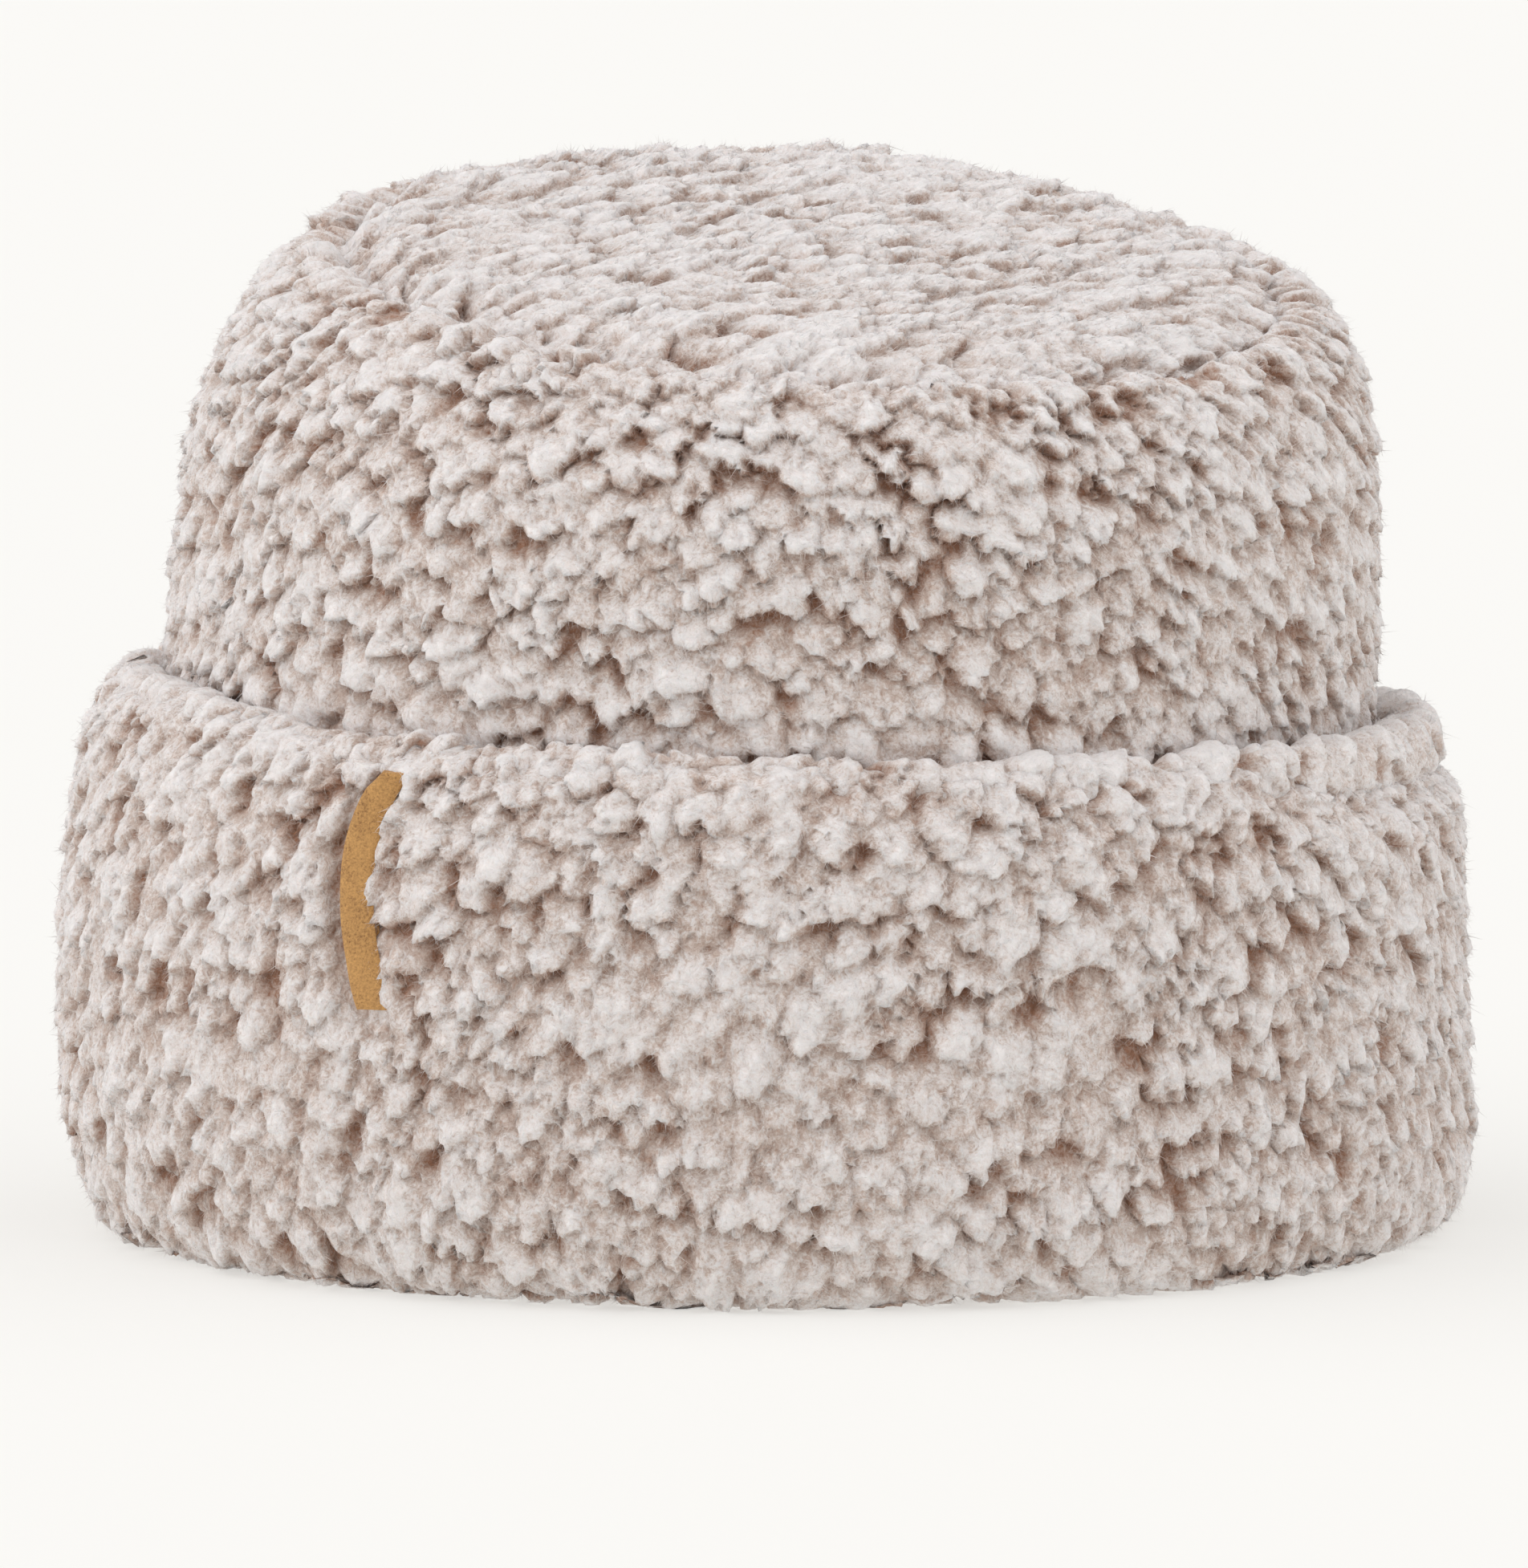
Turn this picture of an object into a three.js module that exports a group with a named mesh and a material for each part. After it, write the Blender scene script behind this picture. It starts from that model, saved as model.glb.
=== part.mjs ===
// A soft fleece pillbox hat with a deep turned-up brim and a small folded tab sewn into the brim's seam.
// Millimetres, +Z up. The hat stands on its own brim: the origin is on that surface, under the middle of the head
// opening. The front is towards -Y, and angles are counted from the front towards +X.
// Every cloth piece is a wall of its own: a knitted back that carries rows of pile tufts, which are fused to it.
import * as THREE from "three";

// Driving dimensions.
const HEAD_HALF_WIDTH = 91;
const DEPTH_OVER_WIDTH = 8; // a half depth of the oval is this much more than its half width
const CLOTH = 9.5; // knitted back and pile together
const SEWN_GAP = 0.6; // clear space between two pieces at a seam
const RIM_HEIGHT = 87;
const SEAM_HEIGHT = 161; // the oval seam that joins the crown's tip to its side
const TUFT_RISE = 1.5; // a tuft stands this far above the mean face, and the parting as far below
const TUFT_PITCH = 12;

// The soft crown slouches to the right and the front, and the brim's edge follows it to the right.
const LEAN_RIGHT = { from: 30, to: SEAM_HEIGHT, slope: -0.066 };
const LEAN_FRONT = { from: RIM_HEIGHT, to: SEAM_HEIGHT, slope: 0.14 };

// The upright seam of the brim, and the folded tab that is caught in it.
const TAB_SEAM = THREE.MathUtils.degToRad(-33);
const TAB = { bottom: 46, top: 82.5, width: 6.6, leaf: 0.8, slit: 0.35, bow: 4.5, hook: 1.5 };
const DIP = { depth: 2.4, margin: 3.5, slope_width: 5, away_from_tab: 0.35 };

const BRIM_SEGMENTS = 96;
const CROWN_SEGMENTS = 88;
const FACING_SEGMENTS = 72;
const COLOURS = { fleece: 0xe2dad5, shaded_fleece: 0xd8cec8, tab: 0xc8965a };

const smooth = (value, from, to) => THREE.MathUtils.smoothstep(value, from, to);

// A fixed number from 0 to 1 for each tuft, so that no two neighbours are alike.
function wobble(a, b) {
  const s = Math.sin(a * 12.9898 + b * 78.233) * 43758.5453;
  return s - Math.floor(s);
}

// The point of the hat that lies on the oval of a given half width, at an angle and a height, with the slouch in it.
function place(half_width, height, shift, angle) {
  const x = half_width * Math.sin(angle) + shift;
  const y = -(half_width + DEPTH_OVER_WIDTH) * Math.cos(angle);
  const right = LEAN_RIGHT.slope * smooth(height, LEAN_RIGHT.from, LEAN_RIGHT.to);
  const front = LEAN_FRONT.slope * smooth(height, LEAN_FRONT.from, LEAN_FRONT.to);
  return new THREE.Vector3(x, y, height + x * right + y * front);
}

const between = (start, end, t) => ({
  height: start.height + t * (end.height - start.height),
  half_width: start.half_width + t * (end.half_width - start.half_width),
  shift: start.shift + t * (end.shift - start.shift),
  tufted: Boolean(start.tufted),
});

// The rows of a section table, with more rows between them wherever the face is tufted.
function spaced(table) {
  return table.slice(1).flatMap((end, i) => {
    const start = table[i];
    const span = Math.hypot(end.height - start.height, end.half_width - start.half_width);
    const count = start.tufted ? Math.max(1, Math.round(span / (TUFT_PITCH / 2))) : 1;
    return Array.from({ length: count }, (_, n) => between(start, end, n / count));
  });
}

// Tufts are in brick bond, two points wide and two rows high, with a crest at every second point of every second row.
const isCrest = (row, column) => row % 2 === 0 && (column + row / 2) % 2 === 0;

function tuftRise(row, column) {
  return TUFT_RISE * (isCrest(row, column) ? 0.7 + 0.6 * wobble(row, column) : -0.5 - 0.6 * wobble(column, row));
}

// The share of the tab's dip that a point of the brim's face is in.
function dipShare(angle, section) {
  const left_of_seam = (TAB_SEAM - angle) * section.half_width;
  const middle = (TAB.width - TAB.hook) / 2;
  const half_span = (TAB.width + TAB.bow + TAB.hook) / 2 + DIP.margin;
  const away = Math.max(0, Math.abs(left_of_seam - middle) - half_span);
  const by_tab = smooth(section.height, TAB.bottom - 12, TAB.bottom - 2);
  return (1 - smooth(away, 0, DIP.slope_width)) * THREE.MathUtils.lerp(DIP.away_from_tab, 1, by_tab);
}

function meshOf(name, points, faces, colour) {
  const geometry = new THREE.BufferGeometry();
  geometry.setAttribute("position", new THREE.Float32BufferAttribute(points.flatMap((p) => p.toArray()), 3));
  geometry.setIndex(faces.flat());
  geometry.computeVertexNormals();
  const material = new THREE.MeshStandardMaterial({ color: colour, roughness: 0.95, metalness: 0 });
  const mesh = new THREE.Mesh(geometry, material);
  mesh.name = name;
  return mesh;
}

// A wall that runs all the way round. Its sections go up the outside, over the edge and down the inside, and a tuft
// rises square to the line between the sections beside it.
function ringWall(name, sections, segments, colour, dips = () => 0) {
  const count = sections.length;
  const points = sections.flatMap((section, row) => {
    const before = sections[(row + count - 1) % count];
    const after = sections[(row + 1) % count];
    const along = new THREE.Vector2(after.half_width - before.half_width, after.height - before.height).normalize();
    return Array.from({ length: segments }, (_, column) => {
      const turn = column > segments / 2 ? column - segments : column;
      const angle = TAB_SEAM + (2 * Math.PI * turn) / segments;
      const dip = dips(angle, section);
      const rise = section.tufted ? tuftRise(row, column) * (1 - dip) - DIP.depth * dip : 0;
      return place(section.half_width + rise * along.y, section.height - rise * along.x, section.shift, angle);
    });
  });
  const faces = [];
  for (let row = 0; row < count; row += 1) {
    for (let column = 0; column < segments; column += 1) {
      const above = ((row + 1) % count) * segments;
      const next = (column + 1) % segments;
      const [a, b, c, d] = [row * segments + column, row * segments + next, above + next, above + column];
      const from_a = isCrest(row, column) || isCrest(row + 1, column + 1);
      faces.push(...(from_a ? [[a, b, c], [a, c, d]] : [[a, b, d], [b, c, d]]));
    }
  }
  return meshOf(name, points, faces, colour);
}

// The crown's side, from the head opening up to the tip's seam. It narrows and leans to the right as it rises.
const SIDE_BASE = CLOTH - 0.4;
const SIDE_FACE = [
  { height: SIDE_BASE, half_width: 101, shift: 0 },
  { height: 78, half_width: 101, shift: 0.4 },
  { height: 84, half_width: 101.2, shift: 0.6, tufted: true },
  { height: 102, half_width: 101.4, shift: 1.6, tufted: true },
  { height: 124, half_width: 99.6, shift: 3.4, tufted: true },
  { height: 145, half_width: 95.6, shift: 5.8, tufted: true },
  { height: 154, half_width: 91.4, shift: 7.6, tufted: true },
  { height: 160, half_width: 86.4, shift: 9, tufted: true },
  { height: SEAM_HEIGHT - SEWN_GAP, half_width: 83.2, shift: 9.4 },
  { height: SEAM_HEIGHT - SEWN_GAP, half_width: 75, shift: 9.4 },
];
const SIDE_BACK = [
  { height: SEAM_HEIGHT - SEWN_GAP, half_width: 75, shift: 9.4 },
  { height: 145, half_width: 85.5, shift: 5.8 },
  { height: 102, half_width: HEAD_HALF_WIDTH, shift: 1.6 },
  { height: SIDE_BASE, half_width: HEAD_HALF_WIDTH, shift: 0 },
  { height: SIDE_BASE, half_width: 101, shift: 0 },
];

function crownSide() {
  return ringWall("crown_side", [...spaced(SIDE_FACE), ...spaced(SIDE_BACK)], CROWN_SEGMENTS, COLOURS.fleece);
}

// The brim's outer cloth starts at the head opening, lies flat where the hat stands, rolls round and goes up to the
// rim.
const BRIM_FACE = [
  { height: 5, half_width: 92.5, shift: 0 },
  { height: 0, half_width: 96, shift: 0 },
  { height: 0, half_width: 113, shift: 0.3 },
  { height: 3, half_width: 117.4, shift: 0.3, tufted: true },
  { height: 11, half_width: 119, shift: 0.5, tufted: true },
  { height: 56, half_width: 118.6, shift: 0.3, tufted: true },
  { height: 74, half_width: 115.8, shift: 0.4, tufted: true },
  { height: 83, half_width: 112.6, shift: 0.4, tufted: true },
  { height: RIM_HEIGHT, half_width: 109.2, shift: 0.4 },
];
const BRIM_BACK = [
  { height: RIM_HEIGHT, half_width: 109.2, shift: 0.4 },
  { height: 60, half_width: 109.4, shift: 0.3 },
  { height: CLOTH + 3, half_width: 109.4, shift: 0 },
  { height: CLOTH - 1, half_width: 105, shift: 0 },
  { height: CLOTH - 1, half_width: 94, shift: 0 },
  { height: 5, half_width: 92.5, shift: 0 },
];

function brimOuter() {
  return ringWall("brim_outer", [...spaced(BRIM_FACE), ...spaced(BRIM_BACK)], BRIM_SEGMENTS, COLOURS.fleece, dipShare);
}

// The brim's facing stands between the outer cloth and the crown, and its pile is the inner half of the rim.
const FACING = [
  { height: SIDE_BASE, half_width: 104, shift: 0 },
  { height: CLOTH + 4, half_width: 108.6, shift: 0 },
  { height: 60, half_width: 108.6, shift: 0.3 },
  { height: RIM_HEIGHT - 1, half_width: 108.4, shift: 0.4 },
  { height: RIM_HEIGHT + 0.5, half_width: 106.8, shift: 0.5, tufted: true },
  { height: RIM_HEIGHT - 2, half_width: 104.6, shift: 0.5, tufted: true },
  { height: RIM_HEIGHT - 9, half_width: 103.6, shift: 0.5 },
  { height: 60, half_width: 102.4, shift: 0.2 },
  { height: SIDE_BASE, half_width: 102.4, shift: 0 },
  { height: SIDE_BASE, half_width: 104, shift: 0 },
];

function brimFacing() {
  return ringWall("brim_facing", spaced(FACING), FACING_SEGMENTS, COLOURS.shaded_fleece);
}

// The tip is an oval panel, laid out in rings of six more points each, so that its tufts keep one size.
const TIP = { half_width: 82.6, shift: 9.4, rings: 12, swell: 3.4, shoulder: 6, edge: 1.2 };

// How far the panel's face stands above the seam, at a share of the way from its middle to its edge.
function tipRise(share) {
  return TIP.edge + TIP.swell * (1 - share * share) + TIP.shoulder * (1 - smooth(share, 0.8, 1));
}

const ringSize = (ring) => Math.max(1, 6 * ring);
const ringStart = (ring) => (ring === 0 ? 0 : 1 + 3 * ring * (ring - 1));

function crownTip() {
  const points = [];
  const addFace = (thickness, tufted) => {
    for (let ring = 0; ring <= TIP.rings; ring += 1) {
      const share = ring / TIP.rings;
      for (let n = 0; n < ringSize(ring); n += 1) {
        const crest = ring % 2 === 0 && n % 2 === 0;
        const rise = tufted * TUFT_RISE * (crest ? 1 : -0.6) * (0.7 + 0.6 * wobble(ring, n));
        const height = Math.max(0, tipRise(share) + (ring < TIP.rings - 1 ? rise : 0) - thickness);
        const angle = TAB_SEAM + (2 * Math.PI * n) / ringSize(ring);
        points.push(place(TIP.half_width * share, SEAM_HEIGHT + height, TIP.shift, angle));
      }
    }
  };
  addFace(0, 1);
  const back = points.length;
  addFace(CLOTH, 0);

  const faces = [];
  for (let ring = 1; ring <= TIP.rings; ring += 1) {
    const inner_at = (n) => ringStart(ring - 1) + (n % ringSize(ring - 1));
    for (let n = 0; n < ringSize(ring); n += 1) {
      const sixth = Math.floor(n / ring);
      const a = ringStart(ring) + n;
      const b = ringStart(ring) + ((n + 1) % ringSize(ring));
      const c = inner_at(n - sixth);
      faces.push([a, b, c], [back + b, back + a, back + c]);
      if ((n + 1) % ring !== 0) {
        const d = inner_at(n - sixth + 1);
        faces.push([b, d, c], [back + d, back + b, back + c]);
      }
      if (ring === TIP.rings) faces.push([a, back + a, b], [b, back + a, back + b]);
    }
  }
  return meshOf("crown_tip", points, faces, COLOURS.fleece);
}

// The section of the tab: two leaves and the fold that joins them. u runs left from the seam, and w out from the brim.
function tabSection() {
  const thick = 2 * TAB.leaf + TAB.slit;
  const radius = thick / 2;
  const fold = Array.from({ length: 5 }, (_, n) => {
    const turn = Math.PI * (n / 4 - 0.5);
    return new THREE.Vector2(TAB.width - radius + radius * Math.cos(turn), radius + radius * Math.sin(turn));
  });
  return [
    new THREE.Vector2(0, 0),
    ...fold,
    new THREE.Vector2(0, thick),
    new THREE.Vector2(0, TAB.leaf + TAB.slit),
    new THREE.Vector2(TAB.width - 1.6 * radius, TAB.leaf + TAB.slit / 2),
    new THREE.Vector2(0, TAB.leaf),
  ];
}

// The brim's outer face at a height, as a row of its section table.
function brimFaceAt(height) {
  const i = BRIM_FACE.findIndex((row, n) => n > 1 && row.height > height);
  const [start, end] = [BRIM_FACE[i - 1], BRIM_FACE[i]];
  return between(start, end, (height - start.height) / (end.height - start.height));
}

// The tab lies on the floor of the brim's dip, and bows away from the seam between its two ends.
function foldedTab() {
  const section = tabSection();
  const stations = 9;
  const points = Array.from({ length: stations }, (_, n) => n / (stations - 1)).flatMap((t) => {
    const row = brimFaceAt(THREE.MathUtils.lerp(TAB.bottom, TAB.top, t));
    const floor = row.half_width - DIP.depth + SEWN_GAP;
    const bow = TAB.bow * (Math.sin(Math.PI * t) - 0.5) - TAB.hook * t * t;
    return section.map(({ x: u, y: w }) => place(floor + w, row.height, row.shift, TAB_SEAM - (u + bow) / floor));
  });
  const size = section.length;
  const faces = [];
  for (let n = 0; n < stations - 1; n += 1) {
    for (let i = 0; i < size; i += 1) {
      const [a, b] = [n * size + i, n * size + ((i + 1) % size)];
      faces.push([a, b, b + size], [a, b + size, a + size]);
    }
  }
  const last = (stations - 1) * size;
  THREE.ShapeUtils.triangulateShape(section, []).forEach(([a, b, c]) => {
    faces.push([a, c, b], [last + a, last + b, last + c]);
  });
  return meshOf("tab", points, faces, COLOURS.tab);
}

const hat = new THREE.Group();
hat.name = "fleece_hat";
hat.add(crownTip(), crownSide(), brimFacing(), brimOuter(), foldedTab());
export default hat;
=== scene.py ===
"""A soft fleece pillbox hat with a deep turned-up brim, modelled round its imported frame."""

import math
from itertools import product
from typing import NamedTuple

import bmesh
import bpy
import numpy as np
from bpy.props import FloatProperty, FloatVectorProperty, IntProperty, PointerProperty
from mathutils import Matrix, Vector, kdtree


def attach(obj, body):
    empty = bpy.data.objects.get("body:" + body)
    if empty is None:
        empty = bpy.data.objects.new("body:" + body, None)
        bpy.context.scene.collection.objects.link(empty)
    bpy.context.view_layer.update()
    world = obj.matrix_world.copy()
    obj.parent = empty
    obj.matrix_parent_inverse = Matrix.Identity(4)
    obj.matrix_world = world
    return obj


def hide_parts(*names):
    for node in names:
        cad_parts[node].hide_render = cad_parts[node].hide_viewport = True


bl_info = {
    "name": "Fleece Hat",
    "version": (1, 0, 0),
    "blender": (4, 5, 0),
    "location": "3D View > Sidebar > Fleece Hat",
    "description": "Models a curly fleece hat with a turned-up brim, and a studio to show it in",
    "category": "Add Mesh",
}

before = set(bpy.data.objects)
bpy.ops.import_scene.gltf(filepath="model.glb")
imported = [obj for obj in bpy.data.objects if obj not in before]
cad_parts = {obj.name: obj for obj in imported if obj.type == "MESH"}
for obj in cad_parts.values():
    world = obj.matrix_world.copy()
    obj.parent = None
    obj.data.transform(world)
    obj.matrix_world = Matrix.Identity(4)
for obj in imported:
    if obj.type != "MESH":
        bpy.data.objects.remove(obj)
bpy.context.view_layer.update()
MM = 0.001

# The cut of the hat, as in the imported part: sections of its walls, in millimetres. Each row is a height,
# the half width of the oval there, how far the oval has shifted to the right, and 1 where the face is in
# full pile.
DEPTH_OVER_WIDTH = 8.0
TIP_SEAM = 161.0
CROWN_SIDE = (
    (56.0, 99.8, 0.2, 0.0),
    (64.0, 99.8, 0.2, 0.3),
    (72.0, 100.0, 0.3, 0.9),
    (80.0, 100.2, 0.5, 1.0),
    (88.0, 100.4, 0.9, 1.0),
    (97.0, 100.4, 1.3, 1.0),
    (106.0, 100.1, 1.9, 1.0),
    (115.0, 99.6, 2.6, 1.0),
    (124.0, 99.6, 3.0, 1.0),
    (134.0, 98.4, 3.7, 1.0),
    (143.5, 96.0, 5.0, 1.0),
    (150.5, 93.0, 6.4, 1.0),
    (156.2, 88.9, 7.5, 1.0),
    (160.4, 85.2, 8.1, 1.0),
    (161.0, 81.8, 8.2, 0.9),
    (157.0, 79.0, 8.2, 0.5),
)
CROWN_SIDE_BACK = (
    (153.5, 79.0, 8.2),
    (145.0, 85.5, 5.8),
    (102.0, 91.0, 1.6),
    (9.1, 91.0, 0.0),
    (9.1, 100.6, 0.0),
)
BRIM_OUTER = (
    (2.6, 96.0, 0.0, 0.3),
    (2.3, 103.5, 1.0, 1.0),
    (2.9, 110.2, 1.8, 1.0),
    (6.4, 114.6, 2.0, 1.0),
    (13.8, 116.6, 1.4, 1.0),
    (22.0, 117.4, 0.4, 1.0),
    (32.0, 117.4, -0.1, 1.0),
    (42.0, 117.4, -0.5, 1.0),
    (52.0, 117.2, -0.6, 1.0),
    (61.0, 116.6, -0.3, 1.0),
    (69.0, 115.6, 0.0, 1.0),
    (76.0, 114.2, 0.2, 1.0),
    (81.6, 112.4, 0.3, 1.0),
    (86.2, 110.0, 0.3, 1.0),
    (88.0, 107.0, 0.3, 0.6),
)
BRIM_OUTER_BACK = (
    (80.0, 107.6, 0.4),
    (60.0, 108.8, 0.3),
    (10.0, 108.6, 0.0),
    (8.4, 94.0, 0.0),
)
BRIM_FACING = (
    (80.0, 107.8, 0.4, 0.2),
    (84.0, 109.6, 0.4, 1.0),
    (87.6, 108.8, 0.5, 1.0),
    (89.0, 106.6, 0.5, 1.0),
    (87.2, 104.4, 0.5, 1.0),
    (81.0, 103.4, 0.5, 1.0),
    (72.0, 103.2, 0.4, 0.8),
)
BRIM_FACING_BACK = (
    (9.1, 102.6, 0.0),
    (9.1, 104.0, 0.0),
    (60.0, 108.4, 0.3),
)
TIP_HALF_WIDTH = 82.6
TIP_SHIFT = 8.2

# The crown's lean: the heights where it starts and where it is full, and its slope.
LEAN_RIGHT = (30.0, TIP_SEAM, -0.066)
LEAN_FRONT = (87.0, TIP_SEAM, 0.14)

# The angle of the seam that holds the tab, the tab's lower and upper end, and the brim's radius there.
TAB_SEAM = math.radians(-33.0)
TAB_SPAN = (47.8, 85.0)
BRIM_RADIUS = 118.0

# The middle of each side of the hat and half its reach, in degrees from the front.
LEFT_SIDE = (-88.0, 40.0)
RIGHT_SIDE = (82.0, 34.0)

# How far the pile stays above the floor, in metres.
FLOOR_GAP = 0.0002


class Tufts(NamedTuple):
    """The shape of the puffs in a piece's pile; length and width are shares of the spacing."""

    length: float
    width: float
    lift_of_lower_side: float
    raggedness: float
    share_of_spacing: float
    # painted light: shifts the whole piece's tone, lighter on the tip and the facing, darker on the crown's
    # side and the brim
    painted_light_shift: float


# The last number of each is painted light: a shift of the whole piece's tone that stands in for how the
# light falls on it.
SIDE_TUFTS = Tufts(0.78, 0.88, 0.55, 0.38, 1.0, -0.02)
TIP_TUFTS = Tufts(1.0, 0.9, 0.5, 0.28, 1.45, 0.01)
FACING_TUFTS = Tufts(0.88, 0.8, 0.4, 0.34, 0.98, 0.02)
BRIM_TUFTS = Tufts(0.9, 0.8, 0.5, 0.38, 1.12, -0.05)
CURLS = Tufts(0.95, 0.8, 0.2, 0.3, 1.0, 0.0)


class FleeceSettings(bpy.types.PropertyGroup):
    """The pile of curly tufts and the fibres that stand from it."""

    tuft_spacing: FloatProperty(
        name="Tuft spacing",
        description="Least distance from one tuft to the next",
        default=0.0050,
        unit="LENGTH",
    )
    tuft_rise: FloatProperty(
        name="Tuft rise", description="Height of a tuft above its parting", default=0.0035, unit="LENGTH"
    )
    curl_spacing: FloatProperty(
        name="Curl spacing",
        description="Least distance from one curl to the next",
        default=0.0022,
        unit="LENGTH",
    )
    fibre_length: FloatProperty(
        name="Fibre length", description="Longest of the common fibres", default=0.0024, unit="LENGTH"
    )
    fibre_width: FloatProperty(
        name="Fibre width", description="Width of a fibre at its root", default=0.00008, unit="LENGTH"
    )
    parting_colour: FloatVectorProperty(
        name="Parting colour",
        description="The pile deep between two tufts",
        default=(0.36, 0.17, 0.095),
        subtype="COLOR",
    )
    pile_colour: FloatVectorProperty(
        name="Pile colour",
        description="The pile on the sides of a tuft",
        default=(0.665, 0.545, 0.48),
        subtype="COLOR",
    )
    tip_colour: FloatVectorProperty(
        name="Tip colour",
        description="The frosted tips of the pile",
        default=(0.94, 0.895, 0.88),
        subtype="COLOR",
    )
    back_colour: FloatVectorProperty(
        name="Back colour",
        description="The knitted back of the cloth",
        default=(0.62, 0.54, 0.47),
        subtype="COLOR",
    )


class CutSettings(bpy.types.PropertyGroup):
    """How finely each piece is cut, and how many fibres it carries."""

    side_columns: IntProperty(
        name="Side columns", description="Cage columns round the crown", default=98
    )
    brim_columns: IntProperty(
        name="Brim columns", description="Cage columns round the brim", default=104
    )
    facing_columns: IntProperty(
        name="Facing columns", description="Cage columns round the facing", default=96
    )
    tip_columns: IntProperty(name="Tip columns", description="Cage columns across the tip", default=28)
    side_fibres: IntProperty(
        name="Side fibres", description="Fibres on the crown's side", default=130000
    )
    brim_fibres: IntProperty(name="Brim fibres", description="Fibres on the brim", default=160000)
    facing_fibres: IntProperty(name="Facing fibres", description="Fibres on the facing", default=36000)
    tip_fibres: IntProperty(name="Tip fibres", description="Fibres on the tip", default=60000)


class TabSettings(bpy.types.PropertyGroup):
    """The folded tab in the brim's seam."""

    width: FloatProperty(
        name="Width", description="From the fold to the sewn edge", default=0.0052, unit="LENGTH"
    )
    bottom: FloatProperty(
        name="Bottom", description="Height of its lower end", default=MM * TAB_SPAN[0], unit="LENGTH"
    )
    top: FloatProperty(
        name="Top", description="Height of its upper end", default=MM * TAB_SPAN[1], unit="LENGTH"
    )
    thickness: FloatProperty(
        name="Thickness", description="Thickness of one leaf", default=0.0008, unit="LENGTH"
    )
    colour: FloatVectorProperty(
        name="Colour",
        description="Colour of the tab's face",
        default=(0.53, 0.29, 0.10),
        subtype="COLOR",
    )
    grain_colour: FloatVectorProperty(
        name="Grain colour",
        description="Colour of the fine dark grain",
        default=(0.22, 0.10, 0.035),
        subtype="COLOR",
    )


class StudioSettings(bpy.types.PropertyGroup):
    """The floor, the light and the camera."""

    floor_size: FloatProperty(
        name="Floor size", description="Side of the floor", default=60.0, unit="LENGTH"
    )
    floor_colour: FloatVectorProperty(
        name="Floor colour",
        description="Colour of the floor",
        default=(0.36, 0.357, 0.346),
        subtype="COLOR",
    )
    floor_glow: FloatProperty(name="Floor glow", description="Light from within the floor", default=0.56)
    sky_strength: FloatProperty(
        name="Sky strength", description="Strength of the even light", default=0.52
    )
    key_strength: FloatProperty(
        name="Key strength", description="Strength of the light on the left", default=1.66
    )
    fill_strength: FloatProperty(
        name="Fill strength", description="Strength of the light on the right", default=1.08
    )
    camera_distance: FloatProperty(
        name="Camera distance", description="From the camera to its aim", default=2.6, unit="LENGTH"
    )
    camera_elevation: FloatProperty(
        name="Camera elevation",
        description="Angle above the floor",
        default=math.radians(5.5),
        subtype="ANGLE",
    )
    aim_height: FloatProperty(
        name="Aim height",
        description="Height of the point at the picture's centre",
        default=0.0752,
        unit="LENGTH",
    )
    lens: FloatProperty(name="Lens", description="Focal length", default=349.4, unit="CAMERA")


class HatSettings(bpy.types.PropertyGroup):
    """All that a user may change."""

    fleece: PointerProperty(type=FleeceSettings)
    cut: PointerProperty(type=CutSettings)
    tab: PointerProperty(type=TabSettings)
    studio: PointerProperty(type=StudioSettings)


def smooth(value, low, high):
    """0 below low, 1 above high, and a soft step between them."""
    t = np.clip((value - low) / (high - low), 0.0, 1.0)
    return t * t * (3.0 - 2.0 * t)


def unit(vectors):
    """Vectors of length one."""
    return vectors / np.maximum(np.linalg.norm(vectors, axis=-1, keepdims=True), 1e-12)


def noise(points, size, seed):
    """Smooth noise from -1 to 1 that changes over a given size."""
    scaled = points / size + 31.7 * seed
    cell = np.floor(scaled).astype(np.int64)
    part = scaled - cell
    part = part * part * (3.0 - 2.0 * part)
    total = np.zeros(len(points))
    for corner in product((0, 1), repeat=3):
        x, y, z = (cell + corner).T
        mixed = (x * 73856093) ^ (y * 19349663) ^ (z * 83492791) ^ (seed * 40503)
        mixed = (mixed ^ (mixed >> 13)) * 1274126177
        value = ((mixed ^ (mixed >> 16)) & 0xFFFF) / 32767.5 - 1.0
        total += value * np.prod(np.where(corner, part, 1.0 - part), axis=1)
    return total


def noise_vectors(points, size, seed):
    """Three separate noises as vectors."""
    return np.stack([noise(points, size, seed + n) for n in range(3)], axis=1)


def slouched(points):
    """Points in millimetres with the soft crown's lean to the right and the front, fluffed up a little."""
    x, y, height = points.T
    right = LEAN_RIGHT[2] * smooth(height, *LEAN_RIGHT[:2])
    front = LEAN_FRONT[2] * smooth(height, *LEAN_FRONT[:2])
    return np.stack([x, y, 1.007 * height + x * right + y * front], axis=1)


def clear_selection():
    """Nothing is selected, and Blender is in object mode."""
    if bpy.context.object and bpy.context.object.mode != "OBJECT":
        bpy.ops.object.mode_set(mode="OBJECT")
    bpy.ops.object.select_all(action="DESELECT")


def read(layer, name, width):
    """All values of a mesh's collection as an array."""
    values = np.empty(len(layer) * width)
    layer.foreach_get(name, values)
    return values.reshape(-1, width) if width > 1 else values


def points_of(piece):
    """A piece's points, in metres."""
    return read(piece.data.vertices, "co", 3)


def move_points(piece, points):
    """Puts a piece's points in new places."""
    piece.data.vertices.foreach_set("co", points.astype(np.float32).ravel())
    piece.data.update()


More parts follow.
